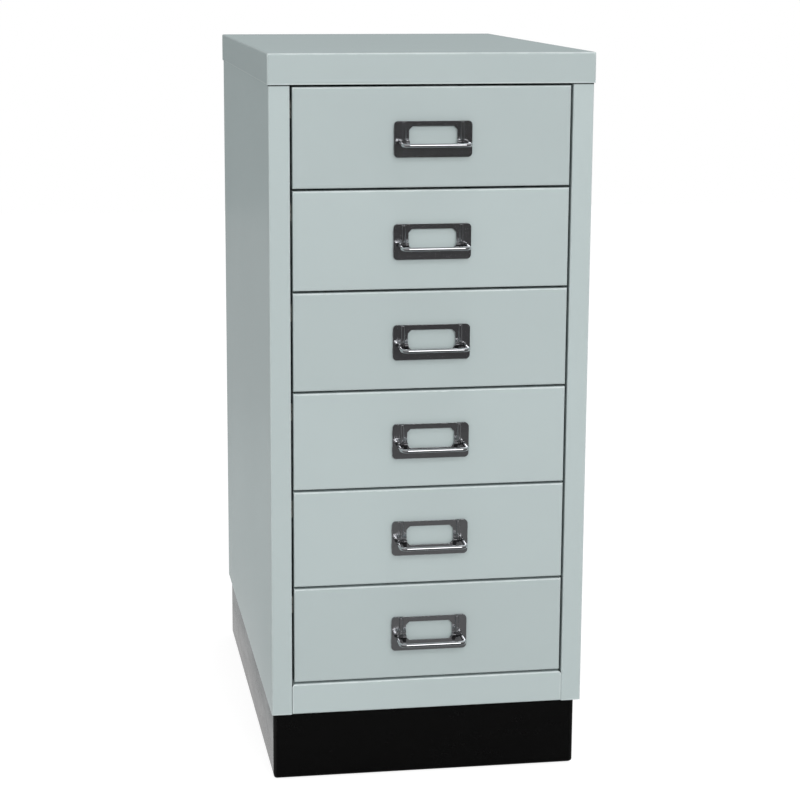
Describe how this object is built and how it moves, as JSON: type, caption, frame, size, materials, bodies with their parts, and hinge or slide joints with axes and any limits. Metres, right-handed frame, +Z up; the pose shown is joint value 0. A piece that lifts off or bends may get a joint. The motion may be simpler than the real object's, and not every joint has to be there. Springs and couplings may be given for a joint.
{
  "type": "small metal drawer cabinet",
  "caption": "Tall, narrow sheet-steel parts cabinet with equal slide-out drawers, card-frame pulls with hinged wire bails, and a recessed black plinth.",
  "frame": {"origin": "on the floor, under the middle of the outer box", "axes": "+Z up, -Y out of the drawer fronts, +X to the right of someone facing the drawers"},
  "size_m": [0.28, 0.454, 0.642],
  "materials": {
    "paint": "semi-gloss baked enamel, light grey-green",
    "plinth_paint": "gloss black enamel",
    "zinc": "bright zinc plate",
    "bright": "bright plated, polished",
    "nylon": "natural nylon, matt"
  },
  "bodies": {
    "carcass": {"top_cap": "paint", "left_side_panel": "paint", "right_side_panel": "paint", "back_panel": "paint", "base_pan": "paint", "front_rail": "paint", "left_rear_post": "paint", "right_rear_post": "paint", "left_front_guides": "nylon", "right_front_guides": "nylon", "plinth": "plinth_paint", "plinth_bolts": "zinc", "plinth_nuts": "zinc", "left_runner_1": "zinc", "left_runner_2": "zinc", "left_runner_3": "zinc", "left_runner_4": "zinc", "left_runner_5": "zinc", "left_runner_6": "zinc", "right_runner_1": "zinc", "right_runner_2": "zinc", "right_runner_3": "zinc", "right_runner_4": "zinc", "right_runner_5": "zinc", "right_runner_6": "zinc"},
    "drawer_1": {"drawer_1_front": "paint", "drawer_1_tray": "paint", "drawer_1_glides": "nylon", "drawer_1_card_frame": "bright"},
    "drawer_2": {"drawer_2_front": "paint", "drawer_2_tray": "paint", "drawer_2_glides": "nylon", "drawer_2_card_frame": "bright"},
    "drawer_3": {"drawer_3_front": "paint", "drawer_3_tray": "paint", "drawer_3_glides": "nylon", "drawer_3_card_frame": "bright"},
    "drawer_4": {"drawer_4_front": "paint", "drawer_4_tray": "paint", "drawer_4_glides": "nylon", "drawer_4_card_frame": "bright"},
    "drawer_5": {"drawer_5_front": "paint", "drawer_5_tray": "paint", "drawer_5_glides": "nylon", "drawer_5_card_frame": "bright"},
    "drawer_6": {"drawer_6_front": "paint", "drawer_6_tray": "paint", "drawer_6_glides": "nylon", "drawer_6_card_frame": "bright"},
    "bail_1": {"drawer_1_bail": "bright"},
    "bail_2": {"drawer_2_bail": "bright"},
    "bail_3": {"drawer_3_bail": "bright"},
    "bail_4": {"drawer_4_bail": "bright"},
    "bail_5": {"drawer_5_bail": "bright"},
    "bail_6": {"drawer_6_bail": "bright"}
  },
  "joints": [
    {"name": "drawer_1_slide", "type": "slide", "parent": "carcass", "child": "drawer_1", "axis": [0, -1, 0], "range_m": [0, 0.351]},
    {"name": "drawer_2_slide", "type": "slide", "parent": "carcass", "child": "drawer_2", "axis": [0, -1, 0], "range_m": [0, 0.351]},
    {"name": "drawer_3_slide", "type": "slide", "parent": "carcass", "child": "drawer_3", "axis": [0, -1, 0], "range_m": [0, 0.351]},
    {"name": "drawer_4_slide", "type": "slide", "parent": "carcass", "child": "drawer_4", "axis": [0, -1, 0], "range_m": [0, 0.351]},
    {"name": "drawer_5_slide", "type": "slide", "parent": "carcass", "child": "drawer_5", "axis": [0, -1, 0], "range_m": [0, 0.351]},
    {"name": "drawer_6_slide", "type": "slide", "parent": "carcass", "child": "drawer_6", "axis": [0, -1, 0], "range_m": [0, 0.351]},
    {"name": "bail_1_pivot", "type": "hinge", "parent": "drawer_1", "child": "bail_1", "pos_m": [0, -0.2081, 0.56763], "axis": [-1, 0, 0], "range_deg": [0, 90]},
    {"name": "bail_2_pivot", "type": "hinge", "parent": "drawer_2", "child": "bail_2", "pos_m": [0, -0.2081, 0.48087], "axis": [-1, 0, 0], "range_deg": [0, 90]},
    {"name": "bail_3_pivot", "type": "hinge", "parent": "drawer_3", "child": "bail_3", "pos_m": [0, -0.2081, 0.39413], "axis": [-1, 0, 0], "range_deg": [0, 90]},
    {"name": "bail_4_pivot", "type": "hinge", "parent": "drawer_4", "child": "bail_4", "pos_m": [0, -0.2081, 0.30738], "axis": [-1, 0, 0], "range_deg": [0, 90]},
    {"name": "bail_5_pivot", "type": "hinge", "parent": "drawer_5", "child": "bail_5", "pos_m": [0, -0.2081, 0.22062], "axis": [-1, 0, 0], "range_deg": [0, 90]},
    {"name": "bail_6_pivot", "type": "hinge", "parent": "drawer_6", "child": "bail_6", "pos_m": [0, -0.2081, 0.13387], "axis": [-1, 0, 0], "range_deg": [0, 90]}
  ]
}
